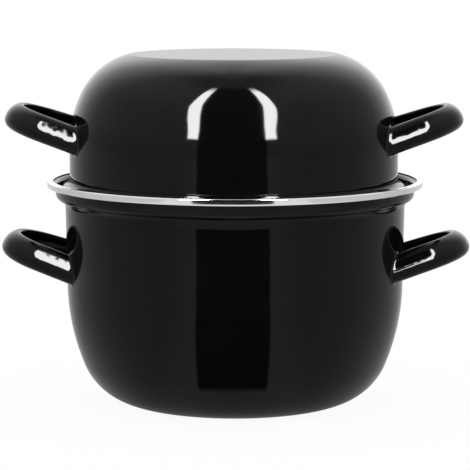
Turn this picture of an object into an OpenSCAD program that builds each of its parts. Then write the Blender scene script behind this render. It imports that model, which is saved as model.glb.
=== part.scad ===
// Mussel pot: a black enamelled steel pot with a steel rim band and a deep lid that turns over into a shell bowl.
// The origin is on the pot's axis at the surface that it stands on. +Z is up and +X runs to the right-hand handles.

/* [Pot] */
// Outside diameter over the steel rim band
rim_d = 250; // [235:1:290]
// Height of the pot from its base to the top of the rim band
pot_h = 150; // [130:1:200]
// Outside radius of the bend between the base and the belly
base_bend_r = 43; // [30:1:48]
// Angle from flat at which the base bend runs into the belly
base_bend_turn = 67.5; // [55:0.5:72]
// Outside radius of the belly above the base bend
belly_r = 145; // [110:1:165]
// Angle by which the upper wall leans out from upright
wall_lean = 1.05; // [0.6:0.05:2]
// Thickness of the enamelled steel sheet of the pot and its lid
sheet_t = 1.6; // [1.2:0.1:2]

/* [Collar] */
// Height from the foot of the collar to the top of the rim band
collar_h = 18; // [17:0.5:24]
// Width of the turned-out edge, from the collar's outside to its end inside the rim band
edge_w = 4.1; // [2.6:0.1:4.5]
// Outside radius of the two bends of the ledge that carries the lid
ledge_bend_r = 5; // [4:0.5:5.5]
// Angle by which the ledge leans out from upright
ledge_turn = 60; // [50:1:65]
// Sloping length of the ledge between its two bends
ledge_flat = 1.6; // [1:0.1:4]
// Inside radius of the bend under the collar's turned-out edge
edge_bend_r = 1.2; // [0.8:0.1:1.6]

/* [Rim band] */
// Thickness of the band's steel
band_t = 1.1; // [0.6:0.1:1.3]
// Width of the band across its top, measured inwards from the outside
band_w = 4; // [3.2:0.1:4.4]
// Gap between the band and the turned-out edge that it wraps
band_gap = 0.3; // [0.2:0.05:0.4]
// Outside rounding of the band's two corners
band_round = 0.9; // [0.4:0.1:1.4]

/* [Lid] */
// Play between the lid's skirt and the inside of the collar, all round
lid_play = 3.2; // [2.5:0.1:4.5]
// Height of the lid from its edge to its flat top
lid_h = 95; // [80:1:120]
// Outside radius of the lid's side as it starts to lean in
lid_side_r = 84; // [60:1:95]
// Outside radius of the lid's shoulder
lid_shoulder_r = 47.5; // [35:0.5:52]
// Angle from flat at which the side runs into the shoulder
lid_shoulder_turn = 66; // [58:1:72]
// Angle from flat at which the shoulder meets the flat top
lid_top_slope = 14; // [8:1:20]
// Outside radius of the crease around the flat top
lid_crease_r = 6; // [3:0.5:12]
// How far the lid's edge steps out from its wall
lid_step = 5.4; // [4.4:0.1:6.5]
// Angle by which that step leans out from upright
lid_step_turn = 70; // [60:1:80]
// Outside radius of the two bends of that step
lid_step_r = 3; // [2.2:0.1:3.2]
// Height of the upright skirt under the step
lid_skirt_h = 6; // [4:0.5:9]
// Gap between the lid's edge and the ledge that it rests on
lid_gap = 0.3; // [0.2:0.05:0.5]
// How far the lid lies to the left of the pot's axis in its loose seat
lid_shift = 0.8; // [0:0.1:2]
// Angle by which the lid is turned in its seat
lid_turn = 1.6; // [-6:0.1:6]

/* [Handles] */
// Outside radius of the long bend that forms the face of the pressed strip
grip_face_r = 13; // [11:0.5:18]
// Angle that this long bend covers, from the strip's outermost line upwards
grip_face_turn = 55; // [45:1:65]
// Outside radius of the tight bend along the strip's top
grip_top_r = 3.5; // [3:0.1:4.5]
// Angle from the outermost line at which the curled top edge ends
grip_curl = 115; // [95:1:140]
// Outside radius of the bend that turns the strip in along its foot
grip_foot_r = 6.5; // [5:0.5:8]
// Width of the flat lip at the foot of the strip
grip_lip = 1.5; // [0.5:0.5:3]
// Thickness of the strip's steel
grip_t = 2; // [1.6:0.1:2.6]
// Radius of the loop over its outermost line
loop_r = 36.5; // [30:0.5:42]
// Angle by which each leg splays out from the loop towards the wall
leg_splay = 16; // [5:1:30]
// Reach of the loop from the wall, along its own slope
loop_reach = 45.3; // [42:0.1:54]
// Angle by which the loops rise from level
loop_rise = 18.5; // [10:0.5:26]
// Height at which the pot's loops leave its wall
pot_loop_z = 92; // [82:0.5:98]
// Height at which the lid's loops leave its wall, measured from the lid's edge
lid_loop_z = 39.5; // [32:0.5:46]
// How much higher the pot's right-hand loop is welded on than its left-hand one
weld_lift = 1.1; // [0:0.1:2]
// Angle by which the pot's right-hand loop is rolled about its own length
weld_roll = -2; // [-3:0.1:3]
// Gap left for the weld between a leg and the wall
weld_gap = 0.3; // [0.2:0.05:0.4]

/* [Hidden] */
$fn = 180;
enamel = "#26272a";
steel = "#c9cac6";
// Angle covered by one straight stretch of a drawn bend
bend_step = 5;

rim_r = rim_d / 2;
edge_r = rim_r - band_t - band_gap;
edge_z = pot_h - band_t - band_gap - sheet_t;
band_h = 2 * band_t + 2 * band_gap + sheet_t;

// The collar stands on the ledge, and the ledge on the wall
collar_r = edge_r - edge_w;
wall_r = collar_r - 2 * ledge_bend_r * (1 - cos(ledge_turn)) - ledge_flat * sin(ledge_turn);
wall_z = pot_h - collar_h;
ledge_z = wall_z + 2 * ledge_bend_r * sin(ledge_turn) + ledge_flat * cos(ledge_turn);

// The wall leans in down to the belly, which runs into the base bend
wall_turn = 90 - wall_lean;
bend_top_z = base_bend_r * (1 - cos(base_bend_turn));
belly_z = bend_top_z + belly_r * cos(base_bend_turn);
belly_top_z = belly_z - belly_r * cos(wall_turn);
belly_x = wall_r - (wall_z - belly_top_z) * tan(wall_lean) - belly_r * sin(wall_turn);
base_r = belly_x + (belly_r - base_bend_r) * sin(base_bend_turn);

// The lid's skirt stands in the collar with lid_play all round
skirt_r = collar_r - sheet_t - lid_play;
lid_r = skirt_r - lid_step;
step_flat = (lid_step - 2 * lid_step_r * (1 - cos(lid_step_turn))) / sin(lid_step_turn);
step_z = lid_skirt_h + 2 * lid_step_r * sin(lid_step_turn) + step_flat * cos(lid_step_turn);
shoulder_z = lid_h - lid_crease_r * (1 - cos(lid_top_slope)) - lid_shoulder_r * cos(lid_top_slope);
side_z = shoulder_z + (lid_shoulder_r - lid_side_r) * cos(lid_shoulder_turn);
shoulder_x = lid_r - lid_side_r + (lid_side_r - lid_shoulder_r) * sin(lid_shoulder_turn);
crease_x = shoulder_x + (lid_shoulder_r - lid_crease_r) * sin(lid_top_slope);

// The skirt's rounded edge lies lid_gap off the ledge on the side that the lid has slid to
seat_reach = ledge_bend_r + sheet_t + lid_gap + sheet_t / 2;
seat_in = wall_r + ledge_bend_r - (skirt_r + lid_shift - sheet_t / 2);
on_bend = acos(seat_in / seat_reach) < ledge_turn;
on_bend_z = sqrt(pow(seat_reach, 2) - pow(seat_in, 2));
on_flat_z = (seat_reach - seat_in * cos(ledge_turn)) / sin(ledge_turn);
lid_z = wall_z + (on_bend ? on_bend_z : on_flat_z) - sheet_t / 2;

// The strip's top bend follows on from its face, and the loop's centre lies loop_x out from the wall
grip_top = (grip_face_r - grip_top_r) * [cos(grip_face_turn), sin(grip_face_turn)] - [grip_face_r, 0];
loop_x = loop_reach - loop_r;
loop_half = 90 - leg_splay;

// Each leg starts a little way inside the loop's bow and a hair under its surface, so the two fuse
leg_bite = 0.5;
leg_inset = 0.02;

// Points of an arc about a centre, from one angle to another
function arc(centre, radius, from, to) =
    let (steps = ceil(abs(to - from) / bend_step))
    [for (i = [0:steps]) let (a = from + (to - from) * i / steps) centre + radius * [cos(a), sin(a)]];

// Profile of the pot's sheet at a depth under its outside, from the middle of the base to its edge
function pot_line(depth) = concat(
    [[0, depth]],
    arc([base_r, base_bend_r], base_bend_r - depth, -90, base_bend_turn - 90),
    arc([belly_x, belly_z], belly_r - depth, base_bend_turn - 90, wall_turn - 90),
    arc([wall_r + ledge_bend_r, wall_z], ledge_bend_r + depth, 180 - wall_lean, 180 - ledge_turn),
    arc([collar_r - ledge_bend_r, ledge_z], ledge_bend_r - depth, -ledge_turn, 0),
    arc([collar_r + edge_bend_r, edge_z - edge_bend_r], edge_bend_r + depth, 180, 90),
    [[edge_r, edge_z + depth]]);

// Profile of the lid's sheet at a depth under its outside, from the middle of its top to its edge
function lid_line(depth) = concat(
    [[0, lid_h - depth]],
    arc([crease_x, lid_h - lid_crease_r], lid_crease_r - depth, 90, 90 - lid_top_slope),
    arc([shoulder_x, shoulder_z], lid_shoulder_r - depth, 90 - lid_top_slope, 90 - lid_shoulder_turn),
    arc([lid_r - lid_side_r, side_z], lid_side_r - depth, 90 - lid_shoulder_turn, 0),
    arc([lid_r + lid_step_r, step_z], lid_step_r + depth, 180, 180 + lid_step_turn),
    arc([skirt_r - lid_step_r, lid_skirt_h], lid_step_r - depth, lid_step_turn, 0));

function backwards(points) = [for (i = [len(points) - 1:-1:0]) points[i]];

module pot_body() {
    color(enamel)
        rotate_extrude()
            polygon(concat(pot_line(0), backwards(pot_line(sheet_t))));
}

// A folded band that grips the turned-out edge from above, outside and below
module rim_band() {
    corner = band_round;
    hollow = band_t + band_gap;
    color(steel)
        translate([0, 0, pot_h - band_h])
            rotate_extrude()
                difference() {
                    polygon(concat(
                        [[rim_r - band_w, 0]],
                        arc([rim_r - corner, corner], corner, -90, 0),
                        arc([rim_r - corner, band_h - corner], corner, 0, 90),
                        [[rim_r - band_w, band_h]]));
                    translate([rim_r - 2 * band_w, band_t])
                        square([2 * band_w - band_t, band_h - 2 * band_t]);
                }
}

module lid_shell() {
    edge = sheet_t / 2;
    color(enamel)
        on_seat()
            rotate_extrude()
                polygon(concat(
                    lid_line(0),
                    arc([skirt_r - edge, edge], edge, 0, -180),
                    backwards(lid_line(sheet_t))));
}

// Moves the lid from its own edge to where it lies in the pot
module on_seat() {
    translate([-lid_shift, 0, lid_z]) rotate(lid_turn) children();
}

// Profile of the strip at a depth under its outside, from its foot up over its face and top
function grip_line(depth) = concat(
    [[-grip_foot_r - grip_lip, depth - grip_foot_r]],
    arc([-grip_foot_r, 0], grip_foot_r - depth, -90, 0),
    arc([-grip_face_r, 0], grip_face_r - depth, 0, grip_face_turn),
    arc(grip_top, grip_top_r - depth, grip_face_turn, grip_curl));

// Section of the strip, drawn inset all round where it has to run on inside another stretch
module grip_section(inset = 0) {
    edge = grip_t / 2;
    curl_end = grip_top + (grip_top_r - edge) * [cos(grip_curl), sin(grip_curl)];
    lip_end = [-grip_foot_r - grip_lip, edge - grip_foot_r];
    polygon(concat(
        grip_line(inset),
        arc(curl_end, edge - inset, grip_curl, grip_curl + 180),
        backwards(grip_line(grip_t - inset)),
        arc(lip_end, edge - inset, 90, 270)));
}

// A loop bent from pressed strip, lying flat, with its legs running back through the wall
module loop() {
    rotate(-loop_half)
        rotate_extrude(angle = 2 * loop_half)
            translate([loop_r, 0]) grip_section();
    for (side = [0, 1])
        mirror([0, side, 0]) rotate(-loop_half)
            translate([loop_r, leg_bite, 0]) rotate([90, 0, 0])
                linear_extrude(loop_reach + leg_bite) grip_section(leg_inset);
}

// A loop that rises from a wall of the given radius at the given height
module raised_loop(wall, height, roll = 0) {
    translate([wall, 0, height])
        rotate([roll, -loop_rise, 0])
            translate([loop_x, 0, 0]) loop();
}

// Both legs are cut to the pot's wall, with weld_gap between
module pot_handle(lift = 0, roll = 0) {
    color(enamel)
        difference() {
            raised_loop(wall_r, pot_loop_z + lift, roll);
            rotate_extrude() polygon(concat(pot_line(-weld_gap), [[0, edge_z]]));
        }
}

// Both legs are cut to the lid's wall, with weld_gap between
module lid_handle() {
    color(enamel)
        difference() {
            raised_loop(lid_r, lid_loop_z);
            rotate_extrude() polygon(concat(lid_line(-weld_gap), [[0, lid_skirt_h]]));
        }
}

module pot_handle_right() pot_handle(weld_lift, weld_roll);
module pot_handle_left() rotate(180) pot_handle();
module lid_handle_right() on_seat() lid_handle();
module lid_handle_left() on_seat() rotate(180) lid_handle();

pot_body();
rim_band();
pot_handle_left();
pot_handle_right();
lid_shell();
lid_handle_left();
lid_handle_right();
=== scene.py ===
"""A black enamelled mussel pot with its deep lid set in place, on a white studio table."""
import math
import bmesh
import bpy
from mathutils import Matrix, Vector


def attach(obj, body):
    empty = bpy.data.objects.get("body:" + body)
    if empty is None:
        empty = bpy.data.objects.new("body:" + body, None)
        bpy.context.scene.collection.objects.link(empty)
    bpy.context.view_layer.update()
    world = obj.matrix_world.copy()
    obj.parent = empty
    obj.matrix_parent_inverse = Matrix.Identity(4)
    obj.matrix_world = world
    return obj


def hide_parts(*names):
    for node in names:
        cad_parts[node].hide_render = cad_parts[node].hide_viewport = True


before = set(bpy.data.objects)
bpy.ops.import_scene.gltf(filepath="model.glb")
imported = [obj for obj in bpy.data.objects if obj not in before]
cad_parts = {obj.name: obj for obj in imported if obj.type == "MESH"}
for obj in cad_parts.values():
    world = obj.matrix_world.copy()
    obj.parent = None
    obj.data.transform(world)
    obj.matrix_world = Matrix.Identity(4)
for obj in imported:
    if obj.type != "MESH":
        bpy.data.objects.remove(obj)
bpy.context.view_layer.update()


# Camera.
# A long lens a little above the lid, so the flat top shows as a thin ellipse, and
# turned slightly round the pot, so the right-hand handles come forward of the left ones.
MM = 0.001
camera_distance = 1720.0 * MM
camera_height = 329.6 * MM
camera_turn = math.radians(2.8)
camera_dip = math.radians(7.21)
camera_data = bpy.data.cameras.new("studio_camera")
camera_data.sensor_width = 36.0
camera_data.lens = 198.4
camera_data.clip_end = 50.0
camera = bpy.data.objects.new("studio_camera", camera_data)
camera.location = (camera_distance * math.sin(camera_turn),
                   -camera_distance * math.cos(camera_turn), camera_height)
camera.rotation_euler = (math.pi / 2 - camera_dip, 0.0, camera_turn)
bpy.context.scene.collection.objects.link(camera)
bpy.context.scene.camera = camera


# Pot body.
# One sheet of steel, drawn to a bulbous pot with a ledge and a collar that carry the
# lid, dipped and fired in black enamel. The coat is glassy and a little wavy.
sheet = 1.6 * MM
rim_radius = 125.0 * MM
pot_height = 150.0 * MM
band_sheet = 1.1 * MM
band_gap = 0.3 * MM
ledge_bend = 5.0 * MM
ledge_flat = 1.6 * MM
ledge_turn = 60
edge_bend = 1.2 * MM
wall_lean = 1.05
base_bend = 43.0 * MM
base_turn = 67.5
belly_bend = 145.0 * MM
wall_top = 132.0 * MM
collar_inset = 4.1 * MM


def arc(centre, radius, start, end, step=1.5):
    """Points of an arc, as (across, up) pairs, from one angle to another."""
    count = max(2, math.ceil(abs(end - start) / step))
    angles = [math.radians(start + (end - start) * i / count) for i in range(count + 1)]
    return [(centre[0] + radius * math.cos(a), centre[1] + radius * math.sin(a))
            for a in angles]


def straight(start, end, count):
    """Points between two ends, without the ends themselves."""
    return [(start[0] + (end[0] - start[0]) * i / count,
             start[1] + (end[1] - start[1]) * i / count)
            for i in range(1, count)]


def sin_d(angle):
    return math.sin(math.radians(angle))


def cos_d(angle):
    return math.cos(math.radians(angle))


edge_radius = rim_radius - band_sheet - band_gap
edge_height = pot_height - band_sheet - band_gap - sheet
collar_radius = edge_radius - collar_inset
wall_radius = (collar_radius - 2 * ledge_bend * (1 - cos_d(ledge_turn))
               - ledge_flat * sin_d(ledge_turn))
ledge_height = wall_top + 2 * ledge_bend * sin_d(ledge_turn) + ledge_flat * cos_d(ledge_turn)
belly_height = base_bend * (1 - cos_d(base_turn)) + belly_bend * cos_d(base_turn)
belly_top = belly_height - belly_bend * sin_d(wall_lean)
belly_centre = (wall_radius - (wall_top - belly_top) * sin_d(wall_lean) / cos_d(wall_lean)
                - belly_bend * cos_d(wall_lean))
base_radius = belly_centre + (belly_bend - base_bend) * sin_d(base_turn)


def pot_outline(depth):
    """The pot's sheet at a depth under its outside, from the middle of the base to its edge."""
    base = arc((base_radius, base_bend), base_bend - depth, -90, base_turn - 90)
    belly = arc((belly_centre, belly_height), belly_bend - depth, base_turn - 90, -wall_lean, 1.0)
    foot = arc((wall_radius + ledge_bend, wall_top), ledge_bend + depth,
               180 - wall_lean, 180 - ledge_turn, 5)
    head = arc((collar_radius - ledge_bend, ledge_height), ledge_bend - depth, -ledge_turn, 0, 5)
    edge = arc((collar_radius + edge_bend, edge_height - edge_bend), edge_bend + depth,
               180, 90, 9)
    middle = (0.0, depth)
    return ([middle] + straight(middle, base[0], 12) + base + belly[1:]
            + straight(belly[-1], foot[0], 12) + foot
            + head + straight(head[-1], edge[0], 10) + edge
            + [(edge_radius, edge_height + depth)])


def maths(tree, operation, *values):
    """A Math node of a tree, fed by numbers and by what other nodes give."""
    step = tree.nodes.new("ShaderNodeMath")
    step.operation = operation
    for socket, value in zip(step.inputs, values):
        if isinstance(value, (int, float)):
            socket.default_value = value
        else:
            tree.links.new(value, socket)
    return step.outputs[0]


def turned_shell_tree():
    """Node tree that turns an outline, given as a row of points, once round the upright axis."""
    tree = bpy.data.node_groups.new("turned_shell", "GeometryNodeTree")
    face = tree.interface
    face.new_socket("Outline", in_out="INPUT", socket_type="NodeSocketGeometry")
    face.new_socket("Segments", in_out="INPUT", socket_type="NodeSocketInt")
    face.new_socket("Finish", in_out="INPUT", socket_type="NodeSocketMaterial")
    face.new_socket("Shell", in_out="OUTPUT", socket_type="NodeSocketGeometry")
    node, link = tree.nodes.new, tree.links.new

    inside = node("NodeGroupInput").outputs
    count = node("GeometryNodeAttributeDomainSize")
    link(inside["Outline"], count.inputs["Geometry"])
    columns = maths(tree, "ADD", inside["Segments"], 1.0)
    grid = node("GeometryNodeMeshGrid")
    link(columns, grid.inputs["Vertices X"])
    rows = count.outputs["Point Count"]
    link(rows, grid.inputs["Vertices Y"])
    index = node("GeometryNodeInputIndex").outputs[0]
    point = node("GeometryNodeSampleIndex")
    point.data_type = "FLOAT_VECTOR"
    link(inside["Outline"], point.inputs["Geometry"])
    link(node("GeometryNodeInputPosition").outputs[0], point.inputs["Value"])
    link(maths(tree, "MODULO", index, rows), point.inputs["Index"])
    column = maths(tree, "FLOOR", maths(tree, "DIVIDE", index, rows))
    share = maths(tree, "DIVIDE", column, inside["Segments"])
    turn = node("ShaderNodeVectorRotate")
    turn.rotation_type = "Z_AXIS"
    link(point.outputs["Value"], turn.inputs["Vector"])
    link(maths(tree, "MULTIPLY", share, math.tau), turn.inputs["Angle"])
    place = node("GeometryNodeSetPosition")
    link(grid.outputs["Mesh"], place.inputs["Geometry"])
    link(turn.outputs["Vector"], place.inputs["Position"])
    close = node("GeometryNodeMergeByDistance")
    close.inputs["Distance"].default_value = 0.001 * MM
    link(place.outputs["Geometry"], close.inputs["Geometry"])
    smooth = node("GeometryNodeSetShadeSmooth")
    link(close.outputs["Geometry"], smooth.inputs["Geometry"])
    real = node("GeometryNodeRealizeInstances")
    link(smooth.outputs["Geometry"], real.inputs["Geometry"])
    paint = node("GeometryNodeSetMaterial")
    link(real.outputs["Geometry"], paint.inputs["Geometry"])
    link(inside["Finish"], paint.inputs["Material"])
    link(paint.outputs["Geometry"], node("NodeGroupOutput").inputs["Shell"])
    return tree


turned_shell = turned_shell_tree()


def turn_shell(name, outline, finish, segments=320, place=Matrix()):
    """A turned piece with its place in its mesh."""
    mesh = bpy.data.meshes.new(name + "_outline")
    mesh.from_pydata([(across, 0.0, up) for across, up in outline], [], [])
    blank = bpy.data.objects.new(name + "_outline", mesh)
    bpy.context.scene.collection.objects.link(blank)
    turning = blank.modifiers.new("turning", "NODES")
    turning.node_group = turned_shell
    for item in turned_shell.interface.items_tree:
        if item.in_out == "INPUT" and item.name == "Segments":
            turning[item.identifier] = segments
        if item.in_out == "INPUT" and item.name == "Finish":
            turning[item.identifier] = finish
    view = bpy.context.evaluated_depsgraph_get()
    solid = bpy.data.meshes.new_from_object(blank.evaluated_get(view))
    solid.name = name
    bpy.data.objects.remove(blank)
    solid.transform(place)
    shape = bmesh.new()
    shape.from_mesh(solid)
    bmesh.ops.recalc_face_normals(shape, faces=shape.faces)
    shape.to_mesh(solid)
    shape.free()
    piece = bpy.data.objects.new(name, solid)
    bpy.context.scene.collection.objects.link(piece)
    return piece


def ramp(tree, source, low, high, start, end, blend="LINEAR"):
    """A Map Range node that goes from start to end while its source goes from low to high."""
    scale = tree.nodes.new("ShaderNodeMapRange")
    scale.interpolation_type = blend
    for label, value in (("From Min", low), ("From Max", high), ("To Min", start), ("To Max", end)):
        scale.inputs[label].default_value = value
    tree.links.new(source, scale.inputs["Value"])
    return scale.outputs["Result"]


enamel_index = 1.27
enamel_blacks = ((0.0043, 0.0044, 0.0045, 1.0), (0.0057, 0.0058, 0.0059, 1.0))
enamel_gloss = (0.035, 0.06)
ledge_dull = 0.18
ledge_middle = (wall_top + ledge_height) / 2
peel_depth = 0.0012 * MM


def enamel_finish(name, ripple_size, ripple_depth):
    """Fired black enamel: a glassy coat with slow ripples and fine orange peel.

    Its index is set below real enamel's, to match how dark it looks in the photograph,
    and a narrow ring at the ledge's height is duller, to soften what the ledge mirrors."""
    material = bpy.data.materials.new(name)
    material.use_nodes = True
    tree = material.node_tree
    node, link = tree.nodes.new, tree.links.new
    coat = tree.nodes["Principled BSDF"]
    coat.inputs["IOR"].default_value = enamel_index
    place = node("ShaderNodeTexCoord").outputs["Object"]

    def noise(scale, detail):
        texture = node("ShaderNodeTexNoise")
        texture.inputs["Scale"].default_value = scale
        texture.inputs["Detail"].default_value = detail
        link(place, texture.inputs["Vector"])
        return texture.outputs["Fac"]

    def spread(source, start, end):
        """Stretches the middle of a noise over a range."""
        return ramp(tree, source, 0.3, 0.7, start, end)

    def relief(height, depth):
        bump = node("ShaderNodeBump")
        bump.inputs["Strength"].default_value = 1.0
        bump.inputs["Distance"].default_value = depth
        link(height, bump.inputs["Height"])
        return bump

    depth_of_black = node("ShaderNodeValToRGB")
    for stop, colour in zip(depth_of_black.color_ramp.elements, enamel_blacks):
        stop.color = colour
    link(spread(noise(38.0, 3.0), 0.0, 1.0), depth_of_black.inputs["Fac"])
    link(depth_of_black.outputs["Color"], coat.inputs["Base Color"])
    split = node("ShaderNodeSeparateXYZ")
    link(place, split.inputs["Vector"])
    off_ledge = maths(tree, "ABSOLUTE", maths(tree, "SUBTRACT", split.outputs["Z"], ledge_middle))
    dull = ramp(tree, off_ledge, 1.5 * MM, 4.5 * MM, ledge_dull, 0.0)
    gloss = spread(noise(260.0, 2.0), *enamel_gloss)
    link(maths(tree, "ADD", gloss, dull), coat.inputs["Roughness"])
    ripple = relief(noise(1.0 / ripple_size, 1.0), ripple_depth)
    peel = relief(noise(900.0, 2.0), peel_depth)
    link(ripple.outputs["Normal"], peel.inputs["Normal"])
    link(peel.outputs["Normal"], coat.inputs["Normal"])
    return material


shell_enamel = enamel_finish("black_enamel_shell", 14.0 * MM, 0.05 * MM)
pot = turn_shell("pot", pot_outline(0.0) + pot_outline(sheet)[::-1], shell_enamel)
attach(pot, "root")
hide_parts("pot_body")


# Rim band.
# A strip of bright stainless steel, rolled round the pot's turned-out edge so that no
# bare enamel edge can chip. It grips the edge from above, outside and below.
band_width = 4.0 * MM
band_rounding = 0.9 * MM
band_depth = 2 * band_sheet + 2 * band_gap + sheet
band_foot = pot_height - band_depth
band_inside = rim_radius - band_width


def band_outline():
    """A section through the folded band, all the way round."""
    corner = band_rounding
    lip = band_sheet / 2
    under = arc((band_inside + lip, band_foot + lip), lip, 90, 270, 15)
    low = arc((rim_radius - corner, band_foot + corner), corner, -90, 0, 6)
    high = arc((rim_radius - corner, pot_height - corner), corner, 0, 90, 6)
    over = arc((band_inside + lip, pot_height - lip), lip, 90, 270, 15)
    inner = [(rim_radius - band_sheet, pot_height - band_sheet),
             (rim_radius - band_sheet, band_foot + band_sheet)]
    return (under + straight(under[-1], low[0], 6) + low + straight(low[-1], high[0], 12) + high
            + straight(high[-1], over[0], 6) + over + inner + [under[0]])


def steel_finish():
    """Polished stainless steel with the faint lines that rolling leaves along the strip."""
    material = bpy.data.materials.new("polished_steel")
    material.use_nodes = True
    tree = material.node_tree
    node, link = tree.nodes.new, tree.links.new
    metal = tree.nodes["Principled BSDF"]
    metal.inputs["Metallic"].default_value = 1.0
    metal.inputs["Base Color"].default_value = (0.95, 0.95, 0.93, 1.0)
    place = node("ShaderNodeTexCoord").outputs["Object"]
    split = node("ShaderNodeSeparateXYZ")
    link(place, split.inputs["Vector"])
    across = node("ShaderNodeVectorMath")
    across.operation = "LENGTH"
    flat = node("ShaderNodeCombineXYZ")
    link(split.outputs["X"], flat.inputs["X"])
    link(split.outputs["Y"], flat.inputs["Y"])
    link(flat.outputs["Vector"], across.inputs[0])
    line = node("ShaderNodeCombineXYZ")
    link(across.outputs["Value"], line.inputs["X"])
    link(split.outputs["Z"], line.inputs["Y"])
    rolled = node("ShaderNodeTexNoise")
    rolled.inputs["Scale"].default_value = 2600.0
    rolled.inputs["Detail"].default_value = 3.0
    link(line.outputs["Vector"], rolled.inputs["Vector"])
    link(ramp(tree, rolled.outputs["Fac"], 0.0, 1.0, 0.03, 0.07), metal.inputs["Roughness"])
    groove = node("ShaderNodeBump")
    groove.inputs["Strength"].default_value = 0.5
    groove.inputs["Distance"].default_value = 0.001 * MM
    link(rolled.outputs["Fac"], groove.inputs["Height"])
    link(groove.outputs["Normal"], metal.inputs["Normal"])
    return material


bright_steel = steel_finish()
band = turn_shell("steel_rim_band", band_outline(), bright_steel)
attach(band, "root")
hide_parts("rim_band")


# Lid.
# A second drawn sheet, deep enough to stand upside down on its flat top as a bowl for
# the shells. Its skirt drops loosely into the pot's collar, level but a little to one
# side, so it is nearest to the ledge there.
lid_play = 3.2 * MM
lid_height = 95.0 * MM
lid_side = 84.0 * MM
lid_shoulder = 47.5 * MM
lid_crease = 6.0 * MM
shoulder_turn = 66
top_slope = 14
step_out = 5.4 * MM
step_bend = 3.0 * MM
step_turn = 70
skirt_height = 6.0 * MM
lid_gap = 0.3 * MM
lid_shift = 0.8 * MM
lid_turn = math.radians(1.6)
skirt_radius = collar_radius - sheet - lid_play
lid_radius = skirt_radius - step_out
step_flat = (step_out - 2 * step_bend * (1 - cos_d(step_turn))) / sin_d(step_turn)
step_height = skirt_height + 2 * step_bend * sin_d(step_turn) + step_flat * cos_d(step_turn)
shoulder_height = (lid_height - lid_crease * (1 - cos_d(top_slope))
                   - lid_shoulder * cos_d(top_slope))
side_height = shoulder_height + (lid_shoulder - lid_side) * cos_d(shoulder_turn)
shoulder_centre = lid_radius - lid_side + (lid_side - lid_shoulder) * sin_d(shoulder_turn)
crease_centre = shoulder_centre + (lid_shoulder - lid_crease) * sin_d(top_slope)
seat_reach = ledge_bend + sheet + lid_gap + sheet / 2
seat_in = wall_radius + ledge_bend - (skirt_radius + lid_shift - sheet / 2)
if math.acos(seat_in / seat_reach) < math.radians(ledge_turn):
    seat_rise = math.sqrt(seat_reach ** 2 - seat_in ** 2)
else:
    seat_rise = (seat_reach - seat_in * cos_d(ledge_turn)) / sin_d(ledge_turn)
lid_foot = wall_top + seat_rise - sheet / 2
lid_place = Matrix.Translation((-lid_shift, 0.0, lid_foot)) @ Matrix.Rotation(lid_turn, 4, "Z")


def lid_outline(depth):
    """The lid's sheet at a depth under its outside, from the middle of its top to its edge."""
    crease = arc((crease_centre, lid_height - lid_crease), lid_crease - depth,
                 90, 90 - top_slope, 2)
    shoulder = arc((shoulder_centre, shoulder_height), lid_shoulder - depth,
                   90 - top_slope, 90 - shoulder_turn)
    side = arc((lid_radius - lid_side, side_height), lid_side - depth, 90 - shoulder_turn, 0)
    step = arc((lid_radius + step_bend, step_height), step_bend + depth, 180, 180 + step_turn, 5)
    skirt = arc((skirt_radius - step_bend, skirt_height), step_bend - depth, step_turn, 0, 5)
    top = (0.0, lid_height - depth)
    return ([top] + straight(top, crease[0], 12) + crease + shoulder[1:] + side[1:]
            + straight(side[-1], step[0], 6) + step + skirt)


lid_edge = arc((skirt_radius - sheet / 2, sheet / 2), sheet / 2, 0, -180, 12)
lid_section = lid_outline(0.0) + lid_edge + lid_outline(sheet)[::-1]
lid = turn_shell("lid", lid_section, shell_enamel, place=lid_place)
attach(lid, "root")
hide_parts("lid_shell")


# Loop handles.
# Four loops bent from one pressed strip, hollow behind, butt welded to the pot and the
# lid before dipping, so the enamel fills each weld to a small smooth fillet.
strip_face = 13.0 * MM
strip_face_turn = 55
strip_top = 3.5 * MM
strip_curl = 115
strip_foot = 6.5 * MM
strip_lip = 1.5 * MM
strip_sheet = 2.0 * MM
loop_bow = 36.5 * MM
leg_splay = 16
loop_reach = 45.3 * MM
loop_rise = math.radians(18.5)
weld_fillet = 1.3 * MM
weld_sink = 0.5 * MM
weld_rings = 5
leg_rings = 10
bow_rings = 56
loop_longest_leg = 60.0 * MM
strip_top_centre = ((strip_face - strip_top) * cos_d(strip_face_turn) - strip_face,
                    (strip_face - strip_top) * sin_d(strip_face_turn))


def strip_line(depth):
    """The strip at a depth under its face, from its foot over its face to the curled top."""
    return ([(-strip_foot - strip_lip, depth - strip_foot)]
            + arc((-strip_foot, 0.0), strip_foot - depth, -90, 0, 6)
            + arc((-strip_face, 0.0), strip_face - depth, 0, strip_face_turn, 3)[1:]
            + arc(strip_top_centre, strip_top - depth, strip_face_turn, strip_curl, 7)[1:])


def strip_section():
    """The closed section of the strip, as (out, up) pairs from the loop's outermost line."""
    edge = strip_sheet / 2
    curl = (strip_top_centre[0] + (strip_top - edge) * cos_d(strip_curl),
            strip_top_centre[1] + (strip_top - edge) * sin_d(strip_curl))
    lip = (-strip_foot - strip_lip, edge - strip_foot)
    return (strip_line(0.0) + arc(curl, edge, strip_curl, strip_curl + 180, 18)[1:-1]
            + strip_line(strip_sheet)[::-1] + arc(lip, edge, 90, 270, 18)[1:-1])


def outline_normals(points):
    """Outward directions at the points of a closed section."""
    normals = []
    for i, point in enumerate(points):
        before, after = points[i - 1], points[(i + 1) % len(points)]
        along = Vector((after[0] - before[0], after[1] - before[1])).normalized()
        normals.append((along.y, -along.x))
    return normals


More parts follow.
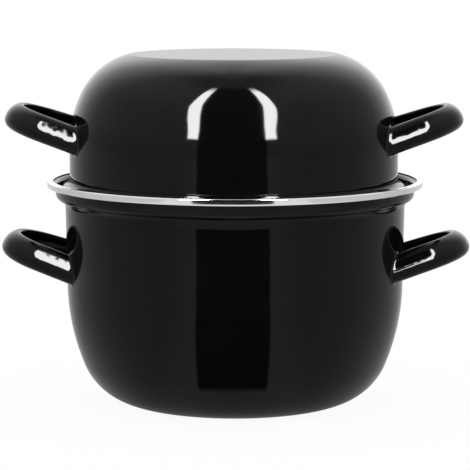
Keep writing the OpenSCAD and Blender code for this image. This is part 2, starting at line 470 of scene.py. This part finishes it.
def reach_to_wall(start, along, outline):
    """How far a point goes in a direction before it meets a turned wall, found by halving."""
    def outside(distance):
        point = start + along * distance
        for (r0, z0), (r1, z1) in zip(outline, outline[1:]):
            if min(z0, z1) <= point.z <= max(z0, z1) and z0 != z1:
                wall = r0 + (r1 - r0) * (point.z - z0) / (z1 - z0)
                return math.hypot(point.x, point.y) > wall
        return True
    near, far = 0.0, loop_longest_leg
    for _ in range(30):
        middle = (near + far) / 2
        near, far = (middle, far) if outside(middle) else (near, middle)
    return near


def loop_handle(name, outline, wall, height, place, roll):
    """One loop, from the weld of one leg round the bow to the weld of the other."""
    section = strip_section()
    normals = outline_normals(section)
    rise = (Matrix.Translation((wall, 0.0, height)) @ Matrix.Rotation(-loop_rise, 4, "Y")
            @ Matrix.Rotation(roll, 4, "X")
            @ Matrix.Translation((loop_reach - loop_bow, 0.0, 0.0)))
    half = math.radians(90 - leg_splay)
    walls = [point for point in outline if point[0] > 0.3 * wall]

    def ring_at(angle, grown=0.0):
        """The section's points at an angle of the bow, with the section grown outwards."""
        out = Vector((math.cos(angle), math.sin(angle), 0.0))
        return [out * (loop_bow + u + nu * grown) + Vector((0, 0, w + nw * grown))
                for (u, w), (nu, nw) in zip(section, normals)]

    def leg(side):
        """Rings of one leg, from the bow through its fillet to just under the wall's surface."""
        inward = Vector((-math.sin(half), side * math.cos(half), 0.0))
        way = (rise.to_3x3() @ inward).normalized()

        def to_wall(grown):
            points = ring_at(side * half, grown)
            return points, [reach_to_wall(rise @ point, way, walls) for point in points]

        rings = []
        points, lengths = to_wall(0.0)
        for k in range(1, leg_rings + 1):
            rings.append([p + inward * (d - weld_fillet) * k / leg_rings
                          for p, d in zip(points, lengths)])
        for k in range(1, weld_rings + 1):
            swing = math.radians(90 * k / weld_rings)
            points, lengths = to_wall(weld_fillet * (1 - math.cos(swing)))
            rings.append([p + inward * (d - weld_fillet * (1 - math.sin(swing)))
                          for p, d in zip(points, lengths)])
        rings.append([p + inward * (d + weld_sink) for p, d in zip(points, lengths)])
        return rings

    bow = [ring_at(-half + 2 * half * k / bow_rings) for k in range(bow_rings + 1)]
    rings = leg(-1)[::-1] + bow + leg(1)
    count = len(section)
    shape = bmesh.new()
    rows = [[shape.verts.new(place @ rise @ point) for point in ring] for ring in rings]
    for row, following in zip(rows, rows[1:]):
        for i in range(count):
            j = (i + 1) % count
            shape.faces.new((row[i], row[j], following[j], following[i]))
    for row in (rows[0], rows[-1]):
        shape.faces.new(row)
    bmesh.ops.triangulate(shape, faces=[face for face in shape.faces if len(face.verts) > 4])
    bmesh.ops.recalc_face_normals(shape, faces=shape.faces)
    mesh = bpy.data.meshes.new(name)
    shape.to_mesh(mesh)
    shape.free()
    for face in mesh.polygons:
        face.use_smooth = True
    mesh.materials.append(handle_enamel)
    piece = bpy.data.objects.new(name, mesh)
    bpy.context.scene.collection.objects.link(piece)
    return piece


handle_enamel = enamel_finish("black_enamel_handle", 8.0 * MM, 0.12 * MM)
pot_loop_height = 92.0 * MM
pot_right_lift = 1.1 * MM
pot_right_roll = math.radians(-2.0)
lid_loop_height = 39.5 * MM
half_turn = Matrix.Rotation(math.pi, 4, "Z")
pot_wall = (pot_outline(0.0), wall_radius)
lid_wall = (lid_outline(0.0), lid_radius)
for name, (outline, wall), height, place, roll in (
        ("pot_handle_left", pot_wall, pot_loop_height, half_turn, 0.0),
        ("pot_handle_right", pot_wall, pot_loop_height + pot_right_lift, Matrix(), pot_right_roll),
        ("lid_handle_left", lid_wall, lid_loop_height, lid_place @ half_turn, 0.0),
        ("lid_handle_right", lid_wall, lid_loop_height, lid_place, 0.0)):
    loop = loop_handle("enamelled_" + name, outline, wall, height, place, roll)
    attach(loop, "root")
    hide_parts(name)


# Table.
# A white sweep. The camera sees it white by its own glow, with the pot's faint shadow on
# its matt coat. Only the enamel and the steel mirror it as the dim grey painted for them.
table_size = 6.0
table_glow = 0.945
table_matt = (0.06, 0.06, 0.06, 1.0)
table_mesh = bpy.data.meshes.new("table")
table_mesh.from_pydata([(-table_size, -table_size, 0), (table_size, -table_size, 0),
                        (table_size, table_size, 0), (-table_size, table_size, 0)],
                       [], [(0, 1, 2, 3)])
table = bpy.data.objects.new("table", table_mesh)
bpy.context.scene.collection.objects.link(table)


def by_ray(tree, to_camera, to_mirrors, to_others):
    """Shows one shader to the camera, one to mirrored rays and one to all other rays."""
    rays = tree.nodes.new("ShaderNodeLightPath").outputs
    shown = to_others
    for ray, shader in (("Is Glossy Ray", to_mirrors), ("Is Camera Ray", to_camera)):
        choice = tree.nodes.new("ShaderNodeMixShader")
        tree.links.new(rays[ray], choice.inputs["Fac"])
        tree.links.new(shown.outputs[0], choice.inputs[1])
        tree.links.new(shader.outputs[0], choice.inputs[2])
        shown = choice
    return shown.outputs[0]


white = bpy.data.materials.new("white_table")
white.use_nodes = True
table_tree = white.node_tree
table_tree.nodes.clear()
matt = table_tree.nodes.new("ShaderNodeBsdfDiffuse")
matt.inputs["Color"].default_value = table_matt
glow = table_tree.nodes.new("ShaderNodeEmission")
glow.inputs["Strength"].default_value = table_glow
lit = table_tree.nodes.new("ShaderNodeAddShader")
table_tree.links.new(matt.outputs[0], lit.inputs[0])
table_tree.links.new(glow.outputs[0], lit.inputs[1])
dim = table_tree.nodes.new("ShaderNodeEmission")
table_tree.links.new(by_ray(table_tree, lit, dim, matt),
                     table_tree.nodes.new("ShaderNodeOutputMaterial").inputs["Surface"])
table_mesh.materials.append(white)


# Card, a painted reflection.
# A grey card lies level in front of the pot's ledge and is part of the studio only. Its glow is a
# painted reflection: the enamel and the steel mirror it, so the collar above it looks evenly grey.
# The camera doesn't see it, and it gives no light or shadow to anything that is matt.
card_height = 129.4 * MM
card_near, card_far, card_side = 113.7 * MM, 262.0 * MM, 160.0 * MM
card_reflection_glow = 0.72
card_mesh = bpy.data.meshes.new("painted_reflection_card")
card_mesh.from_pydata([(-card_side, -card_far, 0), (card_side, -card_far, 0),
                       (card_side, -card_near, 0), (-card_side, -card_near, 0)],
                      [], [(0, 1, 2, 3)])
card_mesh.transform(Matrix.Rotation(camera_turn, 4, "Z")
                    @ Matrix.Translation((0.0, 0.0, card_height)))
card = bpy.data.objects.new("painted_reflection_card", card_mesh)
bpy.context.scene.collection.objects.link(card)
pale = bpy.data.materials.new("painted_reflection_card")
pale.use_nodes = True
card_tree = pale.node_tree
card_tree.nodes.clear()
shine = card_tree.nodes.new("ShaderNodeEmission")
shine.inputs["Strength"].default_value = card_reflection_glow
card_tree.links.new(shine.outputs[0],
                    card_tree.nodes.new("ShaderNodeOutputMaterial").inputs["Surface"])
card_mesh.materials.append(pale)
card.visible_camera = False
card.visible_diffuse = False
card.visible_shadow = False


# Studio.
# The camera and all matt surfaces see plain white. The enamel and the steel mirror a
# painted room: a wall behind the pot, dimmer sides, a black gap round the camera, and a
# tall narrow soft box on either side of that gap.
box_turn = math.radians(1.6)
box_strength = 44.0
box_blur = 0.8
box_inner_edge = (20.0, 45.0, 23.7, 26.4)
box_outer_edge = (16.0, 41.0, 31.2, 36.5)
gap_edge = (22.8, 25.2)
gap_ahead = 0.04
gap_depth = 0.985
front_lift = 0.5
table_by_side = ((22.0, 42.0, 0.44, 0.33), (45.0, 105.0, 0.0, 0.03), (110.0, 175.0, 0.0, 0.3))
room_by_height = ((-5.0, 20.0, 0.4, 0.55), (25.0, 55.0, 0.0, 0.2), (62.0, 82.0, 0.0, -0.35))


def surroundings(tree, direction, on_table):
    """Brightness of the painted room in a direction, or at a spot of the table.

    Angles are in degrees. The room is brighter toward the front, because the enamel's low
    index mirrors less of what is seen head on."""
    node, link = tree.nodes.new, tree.links.new

    def chain(operation, values):
        """Joins values two by two, from the first to the last."""
        result = values[0]
        for value in values[1:]:
            result = maths(tree, operation, result, value)
        return result

    def total(*values):
        return chain("ADD", values)

    def product(*values):
        return chain("MULTIPLY", values)

    def soft(source, low, high, start, end):
        return ramp(tree, source, low, high, start, end, "SMOOTHSTEP")

    def parts(angle):
        """The direction as across, back and up, with the room turned by an angle."""
        turned = node("ShaderNodeVectorRotate")
        turned.rotation_type = "Z_AXIS"
        turned.inputs["Angle"].default_value = -angle
        link(direction, turned.inputs["Vector"])
        split = node("ShaderNodeSeparateXYZ")
        link(turned.outputs["Vector"], split.inputs["Vector"])
        return split.outputs

    def degrees_aside(across, back, ahead=0.0):
        """Angle from straight ahead, seen from a spot ahead of the axis."""
        turned = maths(tree, "ARCTAN2", maths(tree, "ABSOLUTE", across),
                       maths(tree, "SUBTRACT", -ahead, back))
        return product(turned, 180 / math.pi)

    across, back, up = parts(camera_turn)
    aside = degrees_aside(across, back)
    away = 1.0
    if on_table:
        away = maths(tree, "SQRT", total(product(across, across), product(back, back)))
    toward_front = maths(tree, "SUBTRACT", 1.0, maths(tree, "DIVIDE", back, away))
    lift = total(product(maths(tree, "SQRT", toward_front), front_lift), 1.0)
    box_across, box_back, _ = parts(box_turn)

    if on_table:
        before_gap = degrees_aside(box_across, box_back, gap_ahead)
        dark = product(soft(before_gap, *gap_edge, 1.0, 0.0), soft(away, 0.108, 0.122, 0.0, 1.0))
        level = total(*[soft(aside, *step) for step in table_by_side])
        # Painted shade: as mirrored, the table is darker close in under the pot's foot.
        painted_shade_near_foot = soft(away, 0.07, 0.115, 0.35, 1.0)
        out_of_gap = maths(tree, "SUBTRACT", 1.0, product(dark, gap_depth))
        return product(level, painted_shade_near_foot, lift, out_of_gap)

    above = product(maths(tree, "ARCSINE", up), 180 / math.pi)
    room = total(*[soft(above, *step) for step in room_by_height])
    high_wall = product(soft(aside, 150.0, 175.0, 0.0, 0.45), soft(above, 10.0, 28.0, 0.0, 1.0))
    wall_by_side = total(soft(aside, 115.0, 166.0, 0.0, 1.0), high_wall,
                         soft(aside, 168.0, 180.0, 0.0, -0.3))
    wall_by_height = product(soft(above, -15.0, 5.0, 0.4, 1.0), soft(above, 60.0, 88.0, 1.0, 0.2))
    behind = product(wall_by_side, wall_by_height)
    box_aside = degrees_aside(box_across, box_back)
    gap = maths(tree, "MAXIMUM", soft(box_aside, *gap_edge, 0.0, 1.0),
                soft(above, 70.0, 80.0, 0.0, 0.9))
    past_inner = maths(tree, "SUBTRACT", box_aside, soft(above, *box_inner_edge))
    before_outer = maths(tree, "SUBTRACT", soft(above, *box_outer_edge), box_aside)
    box_width = product(soft(past_inner, -box_blur, box_blur, 0.0, 1.0),
                        soft(before_outer, -box_blur, box_blur, 0.0, 1.0))
    box_tall = product(soft(above, 12.0, 14.5, 0.0, 1.0), soft(above, 63.0, 75.0, 1.0, 0.0))
    box = product(box_width, box_tall)
    return product(total(product(total(room, behind), gap), product(box, box_strength)), lift)


table_spot = table_tree.nodes.new("ShaderNodeTexCoord").outputs["Object"]
table_tree.links.new(surroundings(table_tree, table_spot, True), dim.inputs["Strength"])
world = bpy.data.worlds.new("white_studio")
bpy.context.scene.world = world
world.use_nodes = True
world_tree = world.node_tree
world_tree.nodes.clear()
room_light = world_tree.nodes.new("ShaderNodeBackground")
room_spot = world_tree.nodes.new("ShaderNodeTexCoord").outputs["Generated"]
world_tree.links.new(surroundings(world_tree, room_spot, False), room_light.inputs["Strength"])
backdrop, plain_light = [world_tree.nodes.new("ShaderNodeBackground") for _ in range(2)]
for background in (backdrop, plain_light):
    background.inputs["Color"].default_value = (1.0, 1.0, 1.0, 1.0)
    background.inputs["Strength"].default_value = 1.0
world_tree.links.new(by_ray(world_tree, backdrop, room_light, plain_light),
                     world_tree.nodes.new("ShaderNodeOutputWorld").inputs["Surface"])
bpy.context.scene.view_settings.view_transform = "Standard"
